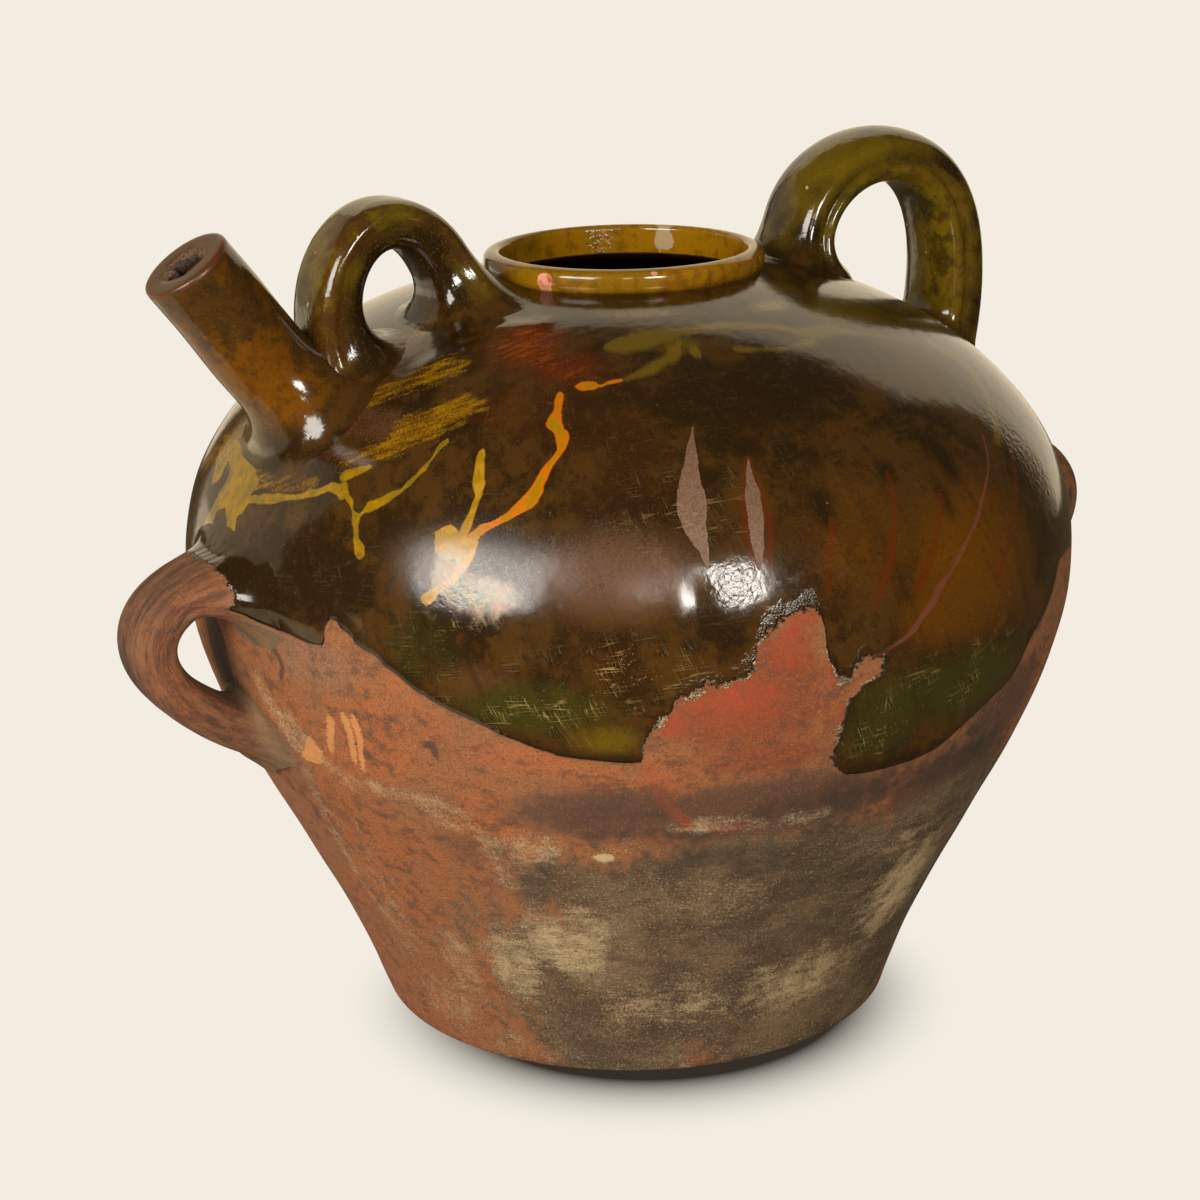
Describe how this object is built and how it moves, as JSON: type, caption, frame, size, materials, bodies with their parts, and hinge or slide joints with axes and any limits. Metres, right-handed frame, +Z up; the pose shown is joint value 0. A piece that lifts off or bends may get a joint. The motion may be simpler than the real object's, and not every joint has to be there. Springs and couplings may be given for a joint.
{
  "type": "two-handled terracotta jug",
  "caption": "Big-bellied country jug of part-glazed earthenware, one fired piece with a tube spout, strap handles over the shoulder, belly lugs and a low collared mouth.",
  "frame": {"origin": "centre of the base, on the plane the jug stands on", "axes": "+Z up, along the jug's axis; -X towards the spout; the spout, the handles and the lugs lie in the plane y = 0"},
  "size_m": [0.4636, 0.38, 0.367],
  "materials": {
    "glazed_earthenware": "dark olive-brown lead glaze over the shoulder with yellow slip drips, bare red clay and grey crust below"
  },
  "bodies": {
    "root": {"jug": "glazed_earthenware"}
  },
  "joints": []
}
